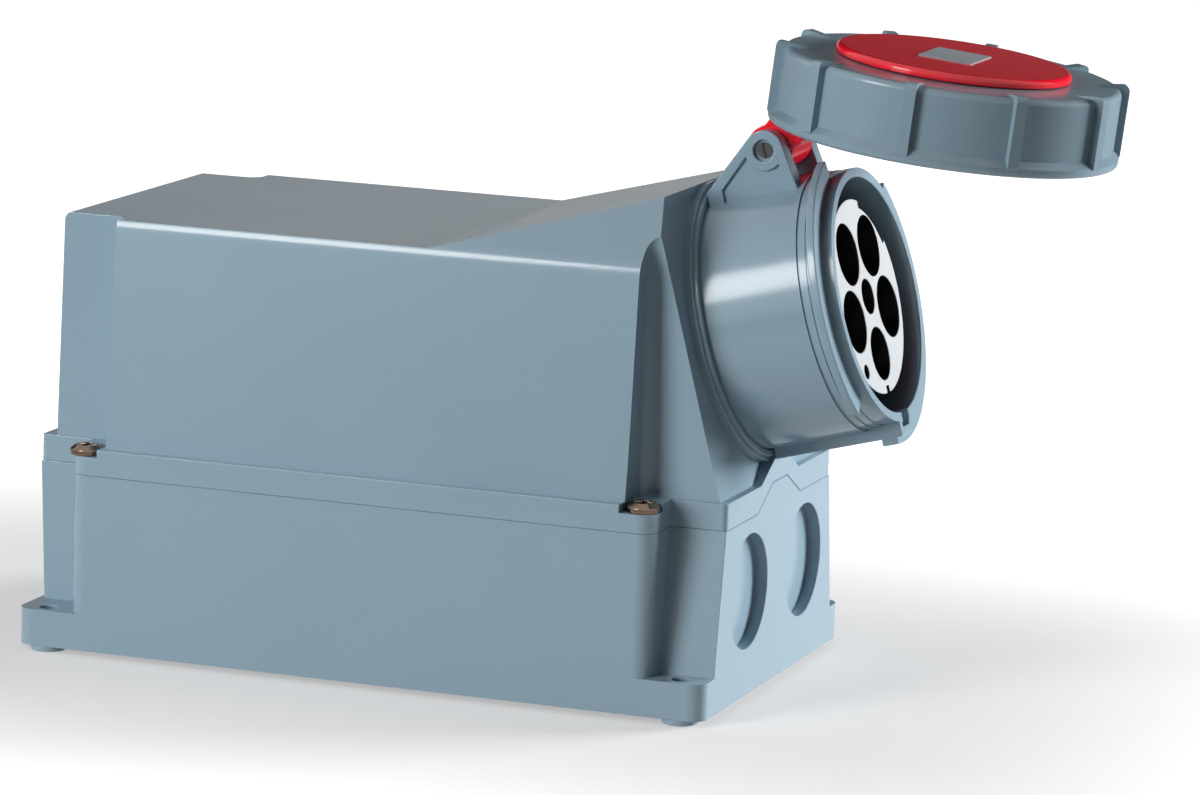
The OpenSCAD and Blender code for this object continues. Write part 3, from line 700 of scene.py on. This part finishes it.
@dataclass
class Studio:
    """White sweep, soft boxes, cards and the camera of the photograph, in metres and degrees.

    Around the foot the paper's own glow falls to its least: a painted shadow, which also lets the real
    shadow show there; and its sheen in the gloss fades with the distance from the foot.
    """

    floor_half: float = 9.0
    floor_z: float = -0.0003
    foot: tuple[float, float] = (0.17, 0.077)
    shade_reach: float = 0.30
    least_glow: float = 0.40
    sheen: tuple[float, float] = (0.80, 0.15)
    sheen_reach: tuple[float, float] = (0.25, 0.90)
    paper: str = "#b9b9b9"
    sky: float = 0.03
    azimuth: float = 19.43
    elevation: float = 10.2
    roll: float = 2.03
    distance: float = 2.00033
    target: tuple[float, float, float] = (0.06052, 0.0, 0.09601)
    lens_mm: float = 169.88
    sensor_mm: float = 36.0
    view_end: float = 60.0
    lamps: list[SoftBox] = field(default_factory=lambda: [
        SoftBox("strip_soft_box", place=(-0.51, -1.02, 0.72), aim=(0.13, 0.0, 0.13),
                width=0.40, height=0.44, radiance=11.0),
        SoftBox("left_front_panel", place=(-1.08, -1.76, 0.36), aim=(0.06, 0.0, 0.10),
                width=0.90, height=0.60, radiance=13.6, mirrored=False),
        SoftBox("right_soft_box", place=(1.32, 1.16, 0.37), aim=(0.12, 0.0, 0.10),
                width=0.80, height=0.44, radiance=53.0, mirrored=False),
        SoftBox("overhead_panel", place=(0.15, 0.0, 1.60), aim=(0.15, 0.0, 0.20),
                width=0.80, height=0.80, radiance=1.1, mirrored=False),
    ])
    cards: list[Card] = field(default_factory=lambda: [
        Card("card_behind_hood", low=(-3.6, 0.04), high=(-0.48, 2.6), y=1.7,
             fade=(0.47, 0.54), level=(0.42, 0.0)),
        Card("card_behind_lid", low=(-0.48, 0.04), high=(2.0, 2.6), y=1.7,
             fade=(0.47, 0.54), level=(0.12, 0.03)),
    ])

    def sweep(self) -> bpy.types.Material:
        """Makes the ground's material.

        Returns:
            The finished material.
        """
        material, tree, place = start_light("white paper sweep")
        seen = seen_directly(tree)
        ways = add(tree, "ShaderNodeVectorMath", {0: place}, operation="ABSOLUTE").outputs["Vector"]
        past = add(tree, "ShaderNodeVectorMath", {0: ways, 1: (*self.foot, 0.0)},
                   operation="SUBTRACT").outputs["Vector"]
        outside = add(tree, "ShaderNodeVectorMath", {0: past, 1: (0, 0, 0)},
                      operation="MAXIMUM").outputs["Vector"]
        reach = add(tree, "ShaderNodeVectorMath", {0: outside}, operation="LENGTH").outputs["Value"]
        # Painted shadow: the paper's glow is dimmest at the foot and rises to full white past the shade's
        # reach.
        fade = add(tree, "ShaderNodeMapRange",
                   {"Value": reach, "From Max": self.shade_reach, "To Min": self.least_glow,
                    "To Max": 1.0}, interpolation_type="SMOOTHSTEP")
        level = add(tree, "ShaderNodeMath", {0: fade.outputs["Result"], 1: seen}, operation="MULTIPLY")
        paper = add(tree, "ShaderNodeBsdfDiffuse", {"Color": linear(self.paper)})
        light = add(tree, "ShaderNodeEmission", {"Strength": level.outputs["Value"]})
        both = add(tree, "ShaderNodeAddShader",
                   {0: paper.outputs["BSDF"], 1: light.outputs["Emission"]})
        near = add(tree, "ShaderNodeMapRange",
                   {"Value": reach, "From Min": self.sheen_reach[0], "From Max": self.sheen_reach[1],
                    "To Min": self.sheen[0], "To Max": self.sheen[1]})
        even = add(tree, "ShaderNodeEmission", {"Strength": near.outputs["Result"]})
        path = add(tree, "ShaderNodeLightPath").outputs
        kept = add(tree, "ShaderNodeMixShader",
                   {0: path["Is Glossy Ray"], 1: both.outputs["Shader"], 2: even.outputs["Emission"]})
        add(tree, "ShaderNodeOutputMaterial", {"Surface": kept.outputs["Shader"]})
        return material

    def build_floor(self) -> bpy.types.Object:
        """Builds the white ground that takes the shadow.

        Returns:
            The ground's object.
        """
        shape = bmesh.new()
        bmesh.ops.create_grid(shape, x_segments=1, y_segments=1, size=self.floor_half)
        bmesh.ops.translate(shape, verts=shape.verts, vec=(0, 0, self.floor_z))
        ground = settle(shape, "ground", self.sweep())
        return ground

    def build_world(self) -> None:
        """Builds the white surroundings."""
        world = bpy.data.worlds.new("white room")
        world.use_nodes = True
        tree = world.node_tree
        tree.nodes.clear()
        level = add(tree, "ShaderNodeMapRange",
                    {"Value": seen_directly(tree), "To Min": self.sky, "To Max": 1.0})
        sky = add(tree, "ShaderNodeBackground", {"Color": WHITE, "Strength": level.outputs["Result"]})
        add(tree, "ShaderNodeOutputWorld", {"Surface": sky.outputs["Background"]})
        bpy.context.scene.world = world

    def build_camera(self) -> bpy.types.Object:
        """Builds the camera at the photograph's angle.

        Returns:
            The camera's object.
        """
        az, el, roll = (math.radians(a) for a in (self.azimuth, self.elevation, self.roll))
        back = Vector((math.sin(az) * math.cos(el), -math.cos(az) * math.cos(el), math.sin(el)))
        level = Vector((math.cos(az), math.sin(az), 0.0))
        right = level * math.cos(roll) + back.cross(level) * math.sin(roll)
        turn = Matrix((right, back.cross(right), back)).transposed().to_4x4()
        lens = bpy.data.cameras.new("camera")
        lens.lens = self.lens_mm
        lens.sensor_width = self.sensor_mm
        lens.sensor_fit = "HORIZONTAL"
        lens.clip_end = self.view_end
        camera = bpy.data.objects.new("camera", lens)
        camera.matrix_world = Matrix.Translation(Vector(self.target) + back * self.distance) @ turn
        bpy.context.scene.collection.objects.link(camera)
        bpy.context.scene.camera = camera
        return camera

    def build(self) -> None:
        """Builds the whole studio."""
        self.build_floor()
        self.build_world()
        for thing in (*self.lamps, *self.cards):
            thing.build()
        self.build_camera()
        bpy.context.scene.view_settings.view_transform = "Standard"
        log.info("studio: %d lamps, %d cards", len(self.lamps), len(self.cards))


def main() -> None:
    """Loads the model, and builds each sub-assembly and the studio."""
    logging.basicConfig(level=logging.INFO, format="%(name)s: %(message)s")
    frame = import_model()
    finishes = Finishes()
    for part in (WallBase(), CoverHood(), SocketBarrel(), HingedLid(), BayonetRing()):
        part.build(frame, finishes)
    Studio().build()
    log.info("sizes written")


if __name__ == "__main__":
    main()
